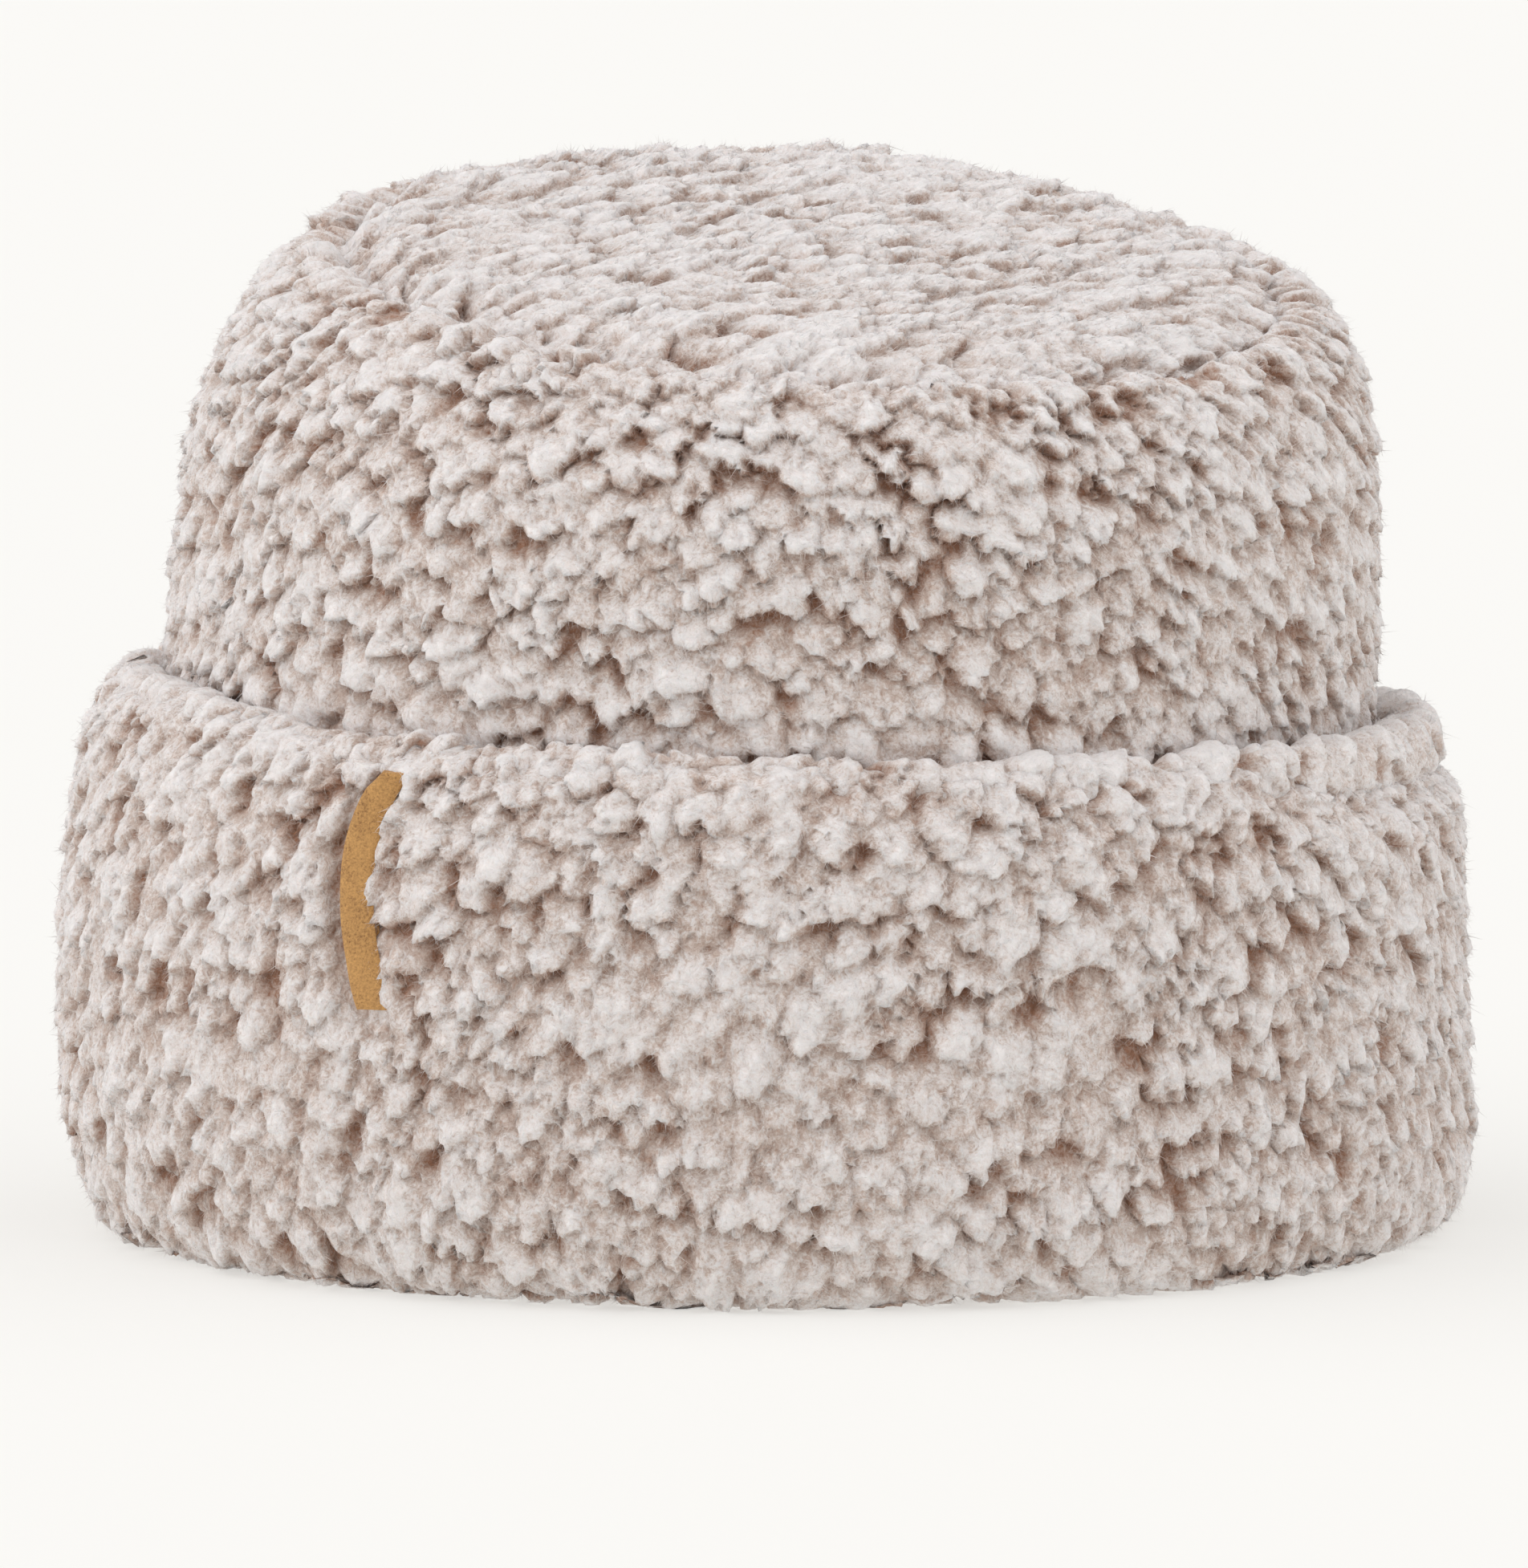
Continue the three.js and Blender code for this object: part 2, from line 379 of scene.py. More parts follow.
def normals_of(piece):
    """The outward direction at each point."""
    return read(piece.data.vertex_normals, "vector", 3)


def value_at_points(piece, name):
    """An attribute's value at each point."""
    return read(piece.data.attributes[name].data, "value", 1)


def keep_at_points(piece, name, values):
    """Keeps one value for each point as an attribute."""
    old = piece.data.attributes.get(name)
    layer = old or piece.data.attributes.new(name, "FLOAT", "POINT")
    layer.data.foreach_set("value", values.astype(np.float32))


def subdivided(piece, levels):
    """Applies a Subdivision Surface modifier."""
    clear_selection()
    piece.select_set(True)
    bpy.context.view_layer.objects.active = piece
    bpy.ops.object.modifier_add(type="SUBSURF")
    modifier = piece.modifiers[-1]
    modifier.levels = modifier.render_levels = levels
    bpy.ops.object.modifier_apply(modifier=modifier.name)


def put_ring(cage, row, n, layers):
    """Puts the selected ring of points on the oval of a section."""
    turn, row_of, pile_of = layers
    height, half_width, shift, pile = (*row, 0.0)[:4]
    for point in (p for p in cage.verts if p.select):
        across = half_width * math.sin(point[turn])
        along = (half_width + DEPTH_OVER_WIDTH) * math.cos(point[turn])
        point.co = (across + shift, -along, height)
        point[row_of], point[pile_of] = n, pile


def put_in_order(cage):
    """Sorts a mesh's edges and faces, which an extrusion leaves in another order each time."""
    cage.verts.index_update()
    count = len(cage.verts)

    def place(part):
        ends = [point.index for point in part.verts]
        return count * min(ends) + max(ends)

    cage.edges.sort(key=place)
    cage.faces.sort(key=place)


def sort_rows(cage):
    """Sorts a wall's points by row and then round the head, and its edges and faces after them."""
    turn, row_of = (cage.verts.layers.float[k] for k in ("turn", "row"))
    # The turns start a little beside a point, so no point's place hangs on its last digit.
    cage.verts.sort(key=lambda point: 100.0 * point[row_of] + (point[turn] + 0.001) % (2.0 * math.pi))
    put_in_order(cage)


def wall_round_head(name, rows, columns):
    """Extrudes an oval of edges row by row into the pile side of a wall."""
    clear_selection()
    bpy.ops.mesh.primitive_circle_add(vertices=columns, radius=1.0)
    wall = bpy.context.object
    wall.name = wall.data.name = name
    bpy.ops.object.mode_set(mode="EDIT")
    cage = bmesh.from_edit_mesh(wall.data)
    for layer in ("turn", "row", "pile"):
        cage.verts.layers.float.new(layer)
    turn = cage.verts.layers.float["turn"]
    for n, point in enumerate(cage.verts):
        point[turn] = 2.0 * math.pi * n / columns
    for n, row in enumerate(rows):
        if n:
            bpy.ops.mesh.extrude_region_move()
        cage = bmesh.from_edit_mesh(wall.data)
        put_ring(cage, row, n, [cage.verts.layers.float[k] for k in ("turn", "row", "pile")])
        bmesh.update_edit_mesh(wall.data)
    sort_rows(cage)
    bmesh.update_edit_mesh(wall.data)
    bpy.ops.object.mode_set(mode="OBJECT")
    subdivided(wall, 3)
    return wall


def turns_of(points, rows, row):
    """The angle of each point round its section's oval."""
    table = np.array([r[:3] for r in rows])
    half_width, shift = (np.interp(row, np.arange(len(table)), table[:, k]) for k in (1, 2))
    return np.arctan2((points[:, 0] - shift) / half_width, -points[:, 1] / (half_width + DEPTH_OVER_WIDTH))


def close_wall(wall, rows, back):
    """Extrudes the wall's knitted back from its last row, and bridges it to the first row."""
    keep_at_points(wall, "turn", turns_of(points_of(wall), rows, value_at_points(wall, "row")))
    bpy.ops.object.mode_set(mode="EDIT")
    bpy.ops.mesh.select_mode(type="EDGE")
    bpy.ops.mesh.select_all(action="DESELECT")
    cage = bmesh.from_edit_mesh(wall.data)
    sort_rows(cage)
    row_of = cage.verts.layers.float["row"]
    for edge in (e for e in cage.edges if e.is_boundary):
        edge.select = all(v[row_of] > 1.0 for v in edge.verts)
    bmesh.update_edit_mesh(wall.data)
    for n, row in enumerate(back):
        bpy.ops.mesh.extrude_region_move()
        cage = bmesh.from_edit_mesh(wall.data)
        put_ring(cage, row, len(rows) + n, [cage.verts.layers.float[k] for k in ("turn", "row", "pile")])
        bmesh.update_edit_mesh(wall.data)
    for edge in (e for e in cage.edges if e.is_boundary):
        edge.select = True
    bmesh.update_edit_mesh(wall.data)
    bpy.ops.mesh.bridge_edge_loops()
    bpy.ops.mesh.select_all(action="SELECT")
    bpy.ops.mesh.normals_make_consistent(inside=False)
    put_in_order(bmesh.from_edit_mesh(wall.data))
    bmesh.update_edit_mesh(wall.data)
    bpy.ops.object.mode_set(mode="OBJECT")
    lay_out_wall(wall, [*rows, *back])


def lay_out_wall(wall, rows):
    """Maps a wall's cloth flat: round the head, and along its section."""
    steps = [math.dist(a[:2], b[:2]) for a, b in zip(rows, [*rows[1:], rows[0]])]
    along = np.concatenate([[0.0], np.cumsum(steps)]) / sum(steps)
    corners = read(wall.data.loops, "vertex_index", 1).astype(np.int64).reshape(-1, 4)
    turn, row = (value_at_points(wall, k)[corners] for k in ("turn", "row"))
    # A face across the back counts past a full turn, and one across the bridge past the last row.
    turn = turn / (2.0 * math.pi) + 0.5
    turn += (np.ptp(turn, axis=1, keepdims=True) > 0.5) & (turn < 0.5)
    row = row + len(rows) * ((np.ptp(row, axis=1, keepdims=True) > 2.0) & (row < 0.5))
    flat = wall.data.uv_layers.active or wall.data.uv_layers.new()
    flat.name = "OFBake"
    places = np.stack([turn * 0.995, np.interp(row, np.arange(len(along)), along)], axis=2)
    flat.data.foreach_set("uv", places.astype(np.float32).ravel())


def tree_of(points):
    """A search tree over points."""
    tree = kdtree.KDTree(len(points))
    for n, point in enumerate(points.tolist()):
        tree.insert(point, n)
    tree.balance()
    return tree


def scattered(points, spacing, draw):
    """Some of the points in no order, each as far from the next as its own spacing, as indices."""
    tree, free, kept = tree_of(points), np.ones(len(points), dtype=bool), []
    for n in draw.permutation(len(points)).tolist():
        if free[n]:
            kept.append(n)
            free[[hit[1] for hit in tree.find_range(points[n], spacing[n])]] = False
    return np.array(kept)


def nearest(points, centres, count):
    """The nearest centres to each point, as indices."""
    tree = tree_of(centres)
    return np.array([[hit[1] for hit in tree.find_n(point, count)] for point in points.tolist()])


def heaped(points, normals, flow, spacing, shape, draw, seed):
    """Heaps puffs and gives their height at each point, from 0 in a parting to about 1 on a puff.

    The first heights have each puff's lower side lifted, and the second are those of plain domes.
    """
    length, width, lift, ragged = shape[:4]
    # The puffs stand closer in some places than in others.
    spacings = spacing * (1.0 + 0.34 * noise(points, 2.6 * spacing, seed + 31))
    middles = scattered(points, spacings, draw)
    centres, out, down = points[middles], normals[middles], flow[middles]
    across = unit(np.cross(out, down))
    size = draw.uniform(0.8, 1.22, len(middles))
    height = draw.uniform(0.74, 1.14, len(middles))
    # Each point is moved a little before it is measured, so the puffs' outlines are ragged.
    warped = points + ragged * spacing * (
        noise_vectors(points, 0.55 * spacing, seed) + 0.6 * noise_vectors(points, 0.27 * spacing, seed + 3)
    )
    near = nearest(points, centres, 7)
    away = warped[:, None, :] - centres[near]
    reach = (spacings[middles] * size)[near]
    u = np.einsum("nkc,nkc->nk", away, down[near]) / (length * reach)
    v = np.einsum("nkc,nkc->nk", away, across[near]) / (width * reach)
    w = np.einsum("nkc,nkc->nk", away, out[near]) / reach
    dome = height[near] * np.clip(1.0 - u * u - v * v - 0.5 * w * w, 0.0, None) ** 0.5
    # A crease runs where the two tallest puffs meet.
    two = np.sort(dome, axis=1)[:, -2:]
    depth = (0.22 + 0.26 * noise(points, 1.6 * spacing, seed + 35)).clip(0.0, 0.4)
    crease = 1.0 - depth * (1.0 - smooth(two[:, 1] - two[:, 0], 0.0, 0.34))
    both = (dome * (1.0 + lift * u), dome)
    return [crease * np.power(np.power(d, 8.0).sum(axis=1), 0.125) for d in both]


def settled_flow(points, normals, flow, swirl, seed):
    """The way the pile lies: a main direction, swirled by noise and laid along the face."""
    lying = flow + swirl * noise_vectors(points, 0.022, seed)
    lying = lying + 0.5 * swirl * noise_vectors(points, 0.008, seed + 3)
    lying -= normals * np.einsum("nc,nc->n", lying, normals)[:, None]
    return unit(lying)


def grow_pile(piece, flow_of, shape, look, seed):
    """Heaps tufts on a piece's pile and curls on the tufts, and gives the way the pile lies and its tone."""
    draw = np.random.default_rng(seed)
    points, normals = points_of(piece), normals_of(piece)
    pile = value_at_points(piece, "pile")
    here = pile > 0.01
    flow = settled_flow(points, normals, flow_of(points), 0.55, seed)
    laid = (points[here], normals[here], flow[here])
    tufts, whole = heaped(*laid, shape.share_of_spacing * look.tuft_spacing, shape, draw, seed)
    curls, _ = heaped(*laid, look.curl_spacing, CURLS, draw, seed + 5)
    height = np.zeros(len(points))
    tone = np.zeros(len(points))
    height[here] = 0.8 * tufts + 0.24 * curls * (0.55 + 0.45 * tufts.clip(0.0, 1.0))
    height += pile * 0.12 * noise(points, 0.0019, seed + 15)
    tone[here] = height[here] + 0.52 * (whole - tufts)
    broad = 0.2 * noise(points, 0.03, seed + 9)
    rise = shape.share_of_spacing**0.7 * look.tuft_rise * pile
    lifted = (height - 0.12 + broad) * rise
    points = points + normals * lifted[:, None] + flow * (0.65 * height * rise)[:, None]
    points[:, 2] = np.maximum(points[:, 2], FLOOR_GAP)
    move_points(piece, points)
    # The steeper sides of the puffs get a darker tone. Pile that faces up gets a lighter tone as painted
    # light from above, and painted_light_shift lightens or darkens each whole piece as painted light.
    steep = 1.0 - np.einsum("nc,nc->n", normals_of(piece), normals)
    tone = tone + shape.painted_light_shift + 0.07 - 0.45 * steep + 0.1 * normals[:, 2].clip(0.0, 1.0)
    tone = tone.clip(0.0, 1.2)
    keep_at_points(piece, "tone", tone)
    return flow, tone


def new_mesh(name, points, faces):
    """A piece made of loose triangles, linked to the scene."""
    mesh = bpy.data.meshes.new(name)
    mesh.from_pydata(points.tolist(), [], faces.tolist())
    piece = bpy.data.objects.new(name, mesh)
    bpy.context.collection.objects.link(piece)
    return piece


def picked_places(piece, flow, tone, count, draw):
    """Random places on a piece's pile: where, outwards, the way the pile lies, and its tone there."""
    mesh = piece.data
    mesh.calc_loop_triangles()
    corners = read(mesh.loop_triangles, "vertices", 3).astype(np.int64)
    pile = value_at_points(piece, "pile")[corners].mean(axis=1)
    weight = np.cumsum(read(mesh.loop_triangles, "area", 1) * (pile > 0.5))
    chosen = np.searchsorted(weight, draw.random(count) * weight[-1]).clip(0, len(corners) - 1)
    share = draw.dirichlet((1.0, 1.0, 1.0), count)
    ends = corners[chosen]
    values = (points_of(piece), normals_of(piece), flow, tone)
    where, out, down, light = (np.einsum("nk,nk...->n...", share, v[ends]) for v in values)
    return where, unit(out), unit(down), light


def lay_out_chips(piece, chips):
    """Maps each point to a spot on a chart of shades."""
    flat = piece.data.uv_layers.new(name="OFBake")
    corners = read(piece.data.loops, "vertex_index", 1).astype(np.int64)
    flat.data.foreach_set("uv", np.clip(chips[corners], 0.01, 0.99).astype(np.float32).ravel())


def comb_fibres(name, piece, flow, tone, count, look, seed):
    """Stands fibres on a piece's pile: thin triangles that lie along the pile and lift at their tips."""
    draw = np.random.default_rng(seed)
    roots, out, down, light = picked_places(piece, flow, tone, count, draw)
    stray = draw.random(count) < 0.02
    length = look.fibre_length * draw.uniform(0.33, 1.0, count) * np.where(stray, 2.0, 1.0)
    astray = draw.normal(size=(count, 3))
    astray -= out * np.einsum("nc,nc->n", astray, out)[:, None]
    way = unit(unit(down + 1.1 * unit(astray)) + draw.uniform(0.0, 0.7, (count, 1)) * out)
    edge = unit(np.cross(way, out + 0.5 * draw.normal(size=(count, 3))))
    half = 0.5 * look.fibre_width * draw.uniform(0.7, 1.3, count)[:, None] * edge
    facing = np.einsum("nc,nc->n", np.cross(half, way), out)[:, None] > 0.0
    half = np.where(facing, half, -half)
    points = np.stack([roots - half, roots + half, roots + way * length[:, None]], axis=1).reshape(-1, 3)
    points[:, 2] = np.maximum(points[:, 2], FLOOR_GAP)
    fibres = new_mesh(name, points, np.arange(3 * count).reshape(-1, 3))
    up = np.repeat(unit(out + 0.25 * way), 3, axis=0)
    fibres.data.normals_split_custom_set_from_vertices(up.tolist())
    shades = light[:, None] + np.array([0.0, 0.0, 0.15]) + draw.uniform(-0.05, 0.2, count)[:, None]
    keep_at_points(fibres, "tone", np.clip(shades.ravel(), 0.0, 1.0))
    chips = np.stack([shades, np.tile((0.2, 0.5, 0.8), (count, 1))], axis=2)
    lay_out_chips(fibres, chips.reshape(-1, 2))
    return fibres


class Nodes:
    """Adds and joins the nodes of a material."""

    def __init__(self, name):
        self.material = bpy.data.materials.new(name)
        self.material.use_nodes = True
        self.tree = self.material.node_tree
        self.surface = self.tree.nodes["Principled BSDF"]

    def add(self, kind, inputs=None, **values):
        """Adds a node, sets its values and fills its sockets with numbers or with other nodes' outputs."""
        node = self.tree.nodes.new(kind)
        for key, value in values.items():
            setattr(node, key, value)
        self.fill(node, inputs or {})
        return node

    def fill(self, node, inputs):
        """Sets or joins a node's sockets."""
        for key, value in inputs.items():
            if isinstance(value, bpy.types.NodeSocket):
                self.tree.links.new(value, node.inputs[key])
            else:
                node.inputs[key].default_value = value

    def ramp(self, factor, stops):
        """A colour for each level of a factor."""
        node = self.add("ShaderNodeValToRGB", {"Fac": factor})
        points = node.color_ramp.elements
        while len(points) < len(stops):
            points.new(0.5)
        for point, (place, colour) in zip(points, stops):
            point.position, point.color = place, (*colour, 1.0)
        return node.outputs["Color"]

    def maths(self, what, a, b, clamp=False):
        """One step of arithmetic."""
        return self.add("ShaderNodeMath", {0: a, 1: b}, operation=what, use_clamp=clamp).outputs[0]

    def speckle(self, scale, detail=3.0, rough=0.6, swirl=0.0):
        """A noise fixed to the object, from 0 to 1."""
        place = self.add("ShaderNodeTexCoord").outputs["Object"]
        wanted = {"Vector": place, "Scale": scale, "Detail": detail, "Roughness": rough, "Distortion": swirl}
        return self.add("ShaderNodeTexNoise", wanted).outputs["Fac"]


def pile_stops(look):
    """The colours of the pile from its partings to its frosted tips."""
    deep, body, tip = (np.array(c) for c in (look.parting_colour, look.pile_colour, look.tip_colour))
    half_deep = 0.5 * deep + 0.5 * body
    frosted = 0.35 * body + 0.65 * tip
    return ((0.0, deep), (0.3, half_deep), (0.54, body), (0.76, frosted), (1.0, tip))


def fleece_material(look):
    """Two-tone pile over a knitted back."""
    n = Nodes("curly fleece")
    tone = n.add("ShaderNodeAttribute", attribute_name="tone").outputs["Fac"]
    pile = n.add("ShaderNodeAttribute", attribute_name="pile").outputs["Fac"]
    wool = n.speckle(480.0, 6.0, 0.62, 1.6)
    fine = n.speckle(2200.0, 3.0, 0.6, 0.6)
    level = n.maths("MULTIPLY", tone, 0.92)
    level = n.maths("ADD", level, n.maths("MULTIPLY", n.maths("SUBTRACT", wool, 0.5), 1.2))
    level = n.maths("ADD", level, n.maths("MULTIPLY", n.maths("SUBTRACT", fine, 0.5), 0.85), clamp=True)
    colour = n.ramp(level, pile_stops(look))
    wanted = {"Vector": n.add("ShaderNodeTexCoord").outputs["Object"], "Scale": 260.0}
    wanted |= {"Distortion": 1.5, "Detail": 2.0, "Detail Scale": 3.0}
    loops = n.add("ShaderNodeTexWave", wanted, bands_direction="Z")
    back = np.array(look.back_colour)
    knit = n.ramp(loops.outputs["Fac"], ((0.0, 0.72 * back), (0.6, back), (1.0, 1.12 * back)))
    mixed = n.add("ShaderNodeMix", data_type="RGBA")
    n.fill(mixed, {0: n.maths("MULTIPLY", pile, 5.0, clamp=True), 6: knit, 7: colour})
    fuzz = n.add("ShaderNodeBump", {"Height": fine, "Distance": 0.00025, "Strength": 0.8})
    curly = n.add("ShaderNodeBump", {"Height": wool, "Distance": 0.0012, "Strength": 0.8})
    n.fill(curly, {"Normal": fuzz.outputs[0]})
    n.fill(n.surface, {"Base Color": mixed.outputs[2], "Normal": curly.outputs[0]})
    fixed = {"Roughness": 0.95, "Specular IOR Level": 0.15, "Sheen Weight": 0.3, "Sheen Roughness": 0.6}
    fixed |= {"Subsurface Weight": 0.3, "Subsurface Scale": 0.0016, "Subsurface Radius": (1.0, 0.85, 0.75)}
    n.fill(n.surface, fixed)
    return n.material


def fibre_material(look):
    """Single fibres, paler towards their tips."""
    n = Nodes("fleece fibres")
    tone = n.add("ShaderNodeAttribute", attribute_name="tone").outputs["Fac"]
    n.fill(n.surface, {"Base Color": n.ramp(tone, pile_stops(look))})
    fixed = {"Roughness": 0.9, "Specular IOR Level": 0.2, "Sheen Weight": 0.3, "Sheen Roughness": 0.5}
    n.fill(n.surface, fixed)
    return n.material


def tab_material(look):
    """Matt tan face with a fine dark grain."""
    n = Nodes("tan tab")
    grain = n.speckle(2600.0, 4.0, 0.7)
    cloud = n.speckle(260.0, 3.0)
    face, dark = np.array(look.colour), np.array(look.grain_colour)
    level = n.maths("ADD", grain, n.maths("MULTIPLY", n.maths("SUBTRACT", cloud, 0.5), 0.35))
    colour = n.ramp(level, ((0.30, dark), (0.42, 0.4 * dark + 0.6 * face), (0.56, face), (0.8, 1.25 * face)))
    bump = n.add("ShaderNodeBump", {"Height": grain, "Distance": 0.00008, "Strength": 0.8})
    n.fill(n.surface, {"Base Color": colour, "Normal": bump.outputs[0]})
    n.fill(n.surface, {"Roughness": 0.72, "Specular IOR Level": 0.3, "Sheen Weight": 0.1})
    return n.material


def shared_material(name, make, look):
    """A material that several pieces use, made once."""
    return bpy.data.materials.get(name) or make(look)


def dress(piece, body_material, slot, *nodes):
    """Gives a piece its finish and its place in the frame."""
    piece.data.materials.clear()
    piece.data.materials.append(body_material)
    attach(piece, "root")
    if nodes:
        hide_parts(*nodes)


def finish_fleece(piece, grown, node, fibres, look, seed):
    """Shades a piece of fleece, dresses it, and combs out its fibres."""
    clear_selection()
    piece.select_set(True)
    bpy.context.view_layer.objects.active = piece
    bpy.ops.object.shade_smooth()
    dress(piece, shared_material("curly fleece", fleece_material, look), "fleece", node)
    combed = comb_fibres(node + "_fibres", piece, *grown, fibres, look, seed)
    dress(combed, shared_material("fleece fibres", fibre_material, look), "fleece")


def make_wall(node, section, columns, fibres, shape, settle, look, seed):
    """Models one wall of the hat in fleece, pressed flat where the tab lies on it."""
    rows, back = section
    wall = wall_round_head(node + "_fleece", rows, columns)
    close_wall(wall, rows, back)
    points = settle(slouched(points_of(wall)))
    move_points(wall, MM * points)
    keep_at_points(wall, "pile", value_at_points(wall, "pile") * (1.0 - 0.75 * under_tab(points)))
    grown = grow_pile(wall, falling, shape, look, seed)
    finish_fleece(wall, grown, node, fibres, look, seed + 50)


def falling(points):
    """Pile that hangs down, and outwards over a rim."""
    round_head = unit(points * (1.0, 1.0, 0.0))
    return 0.35 * round_head + (0.0, 0.0, -1.0)


def sideways(points):
    """Pile that lies across the hat."""
    return np.tile((1.0, -0.35, 0.0), (len(points), 1))


def sector(points, middle, half):
    """1 round one side of the hat and 0 elsewhere, with a soft step; angles from the front, in degrees."""
    away = np.abs(np.degrees(np.arctan2(points[:, 0], -points[:, 1])) - middle)
    return 1.0 - smooth(away, 0.6 * half, 1.4 * half)


def top_sag(points):
    """Raises the top's back edge in the middle and at its left end, and lets it sag between."""
    x, y, height = points.T
    back = smooth(y, 10.0, 75.0) * smooth(height, 135.0, 160.0)
    change = 2.6 * np.exp(-(((x - 8.0) / 52.0) ** 2)) + 1.8 * np.exp(-(((x + 62.0) / 13.0) ** 2))
    return points + (back * change)[:, None] * (0.0, 0.0, 1.0)


def rim_lift(points):
    """Raises the rim on the left."""
    lift = 2.6 * sector(points, *LEFT_SIDE) * smooth(points[:, 2], 56.0, 86.0)
    return points + lift[:, None] * (0.0, 0.0, 1.0)


def rim_roll(points):
    """Raises the rim on the left, and rolls the facing out over the brim on the right."""
    roll = 3.2 * sector(points, *RIGHT_SIDE) * smooth(points[:, 2], 74.0, 82.0)
    return rim_lift(points) + roll[:, None] * unit(points * (1.0, 1.0, 0.0))


def tab_bow(along):
    """How far the tab bows away from its seam along its length, in millimetres."""
    reach = along - 0.6
    return 0.9 - np.where(reach < 0.0, 15.0, 34.0) * reach**2


def under_tab(points):
    """1 on the outside of the brim beneath the tab, and 0 elsewhere."""
    x, y, height = points.T
    bottom, top = TAB_SPAN
    bow = tab_bow(((height - bottom) / (top - bottom)).clip(0.0, 1.0))
    left = (TAB_SEAM - np.arctan2(x, -y)) * BRIM_RADIUS - bow
    across = smooth(left, -3.6, -1.2) * (1.0 - smooth(left, 4.2, 6.5))
    along = smooth(height, bottom - 2.0, bottom) * (1.0 - smooth(height, top, top + 2.5))
    return across * along * smooth(np.hypot(x, y), 109.0, 112.0)


def seam_dip(points):
    """Draws the brim in along the seam that holds the tab, and lowers its upper edge on the right."""
    x, y, height = points.T
    away = np.abs(np.arctan2(x, -y) - TAB_SEAM) * BRIM_RADIUS
    dip = 1.6 * (1.0 - smooth(away, 0.0, 8.0)) * smooth(np.hypot(x, y), 112.0, 115.0)
    right = sector(points, *RIGHT_SIDE)
    low = 5.5 * right * smooth(height, 66.0, 84.0)
    out = (1.4 * right * smooth(height, 60.0, 80.0) - dip)[:, None]
    return rim_lift(points) + out * unit(points * (1.0, 1.0, 0.0)) - low[:, None] * (0.0, 0.0, 1.0)


class HAT_OT_crown_side(bpy.types.Operator):
    """Add the crown's side, which carries the tip and narrows as it rises"""

    bl_idname = "fleece_hat.crown_side"
    bl_label = "Crown side"

    def execute(self, context):
        hat = context.scene.fleece_hat
        section = (CROWN_SIDE, CROWN_SIDE_BACK)
        columns, fibres = hat.cut.side_columns, hat.cut.side_fibres
        make_wall("crown_side", section, columns, fibres, SIDE_TUFTS, top_sag, hat.fleece, 11)
        return {"FINISHED"}


class HAT_OT_crown_tip(bpy.types.Operator):
    """Add the oval tip that closes the crown"""

    bl_idname = "fleece_hat.crown_tip"
    bl_label = "Crown tip"

    def execute(self, context):
        hat = context.scene.fleece_hat
        tip = tip_panel(hat.cut.tip_columns)
        move_points(tip, MM * top_sag(slouched(points_of(tip))))
        grown = grow_pile(tip, sideways, TIP_TUFTS, hat.fleece, 41)
        finish_fleece(tip, grown, "crown_tip", hat.cut.tip_fibres, hat.fleece, 91)
        return {"FINISHED"}


def tip_panel(columns):
    """Rounds a grid off into an oval, swells it and closes it below."""
    clear_selection()
    bpy.ops.mesh.primitive_grid_add(x_subdivisions=columns, y_subdivisions=columns, size=2.0)
    tip = bpy.context.object
    tip.name = tip.data.name = "crown_tip_fleece"
    subdivided(tip, 3)
    x, y, _ = (points_of(tip) / np.abs(points_of(tip)).max(axis=0).clip(1e-9)).T
    across, along = x * np.sqrt(1.0 - 0.5 * y * y), y * np.sqrt(1.0 - 0.5 * x * x)
    share = np.hypot(across, along)
    rise = -4.1 + 4.0 * (1.0 - share**2) + 4.8 * (1.0 - smooth(share, 0.84, 1.0))
    half_depth = TIP_HALF_WIDTH + DEPTH_OVER_WIDTH
    places = (across * TIP_HALF_WIDTH + TIP_SHIFT, along * half_depth, TIP_SEAM + rise)
    move_points(tip, np.stack(places, axis=1))
    keep_at_points(tip, "pile", 1.0 - 0.3 * smooth(share, 0.93, 0.98))
    bpy.ops.object.mode_set(mode="EDIT")
    bpy.ops.mesh.select_all(action="SELECT")
    bpy.ops.mesh.region_to_loop()
    for size, drop in ((0.985, -0.6), (0.9, 0.0), (0.55, 1.4), (0.1, 1.0)):
        bpy.ops.mesh.extrude_region_move(TRANSFORM_OT_translate={"value": (0.0, 0.0, drop)})
        bpy.ops.transform.resize(value=(size, size, 1.0), center_override=(TIP_SHIFT, 0.0, TIP_SEAM))
        cage = bmesh.from_edit_mesh(tip.data)
        pile = cage.verts.layers.float["pile"]
        for point in (p for p in cage.verts if p.select):
            point[pile] = 0.0
        bmesh.update_edit_mesh(tip.data)
    bpy.ops.mesh.edge_face_add()
    bpy.ops.mesh.select_all(action="SELECT")
    bpy.ops.mesh.normals_make_consistent(inside=False)
    put_in_order(bmesh.from_edit_mesh(tip.data))
    bmesh.update_edit_mesh(tip.data)
    bpy.ops.object.mode_set(mode="OBJECT")
    lay_out_tip(tip)
    return tip


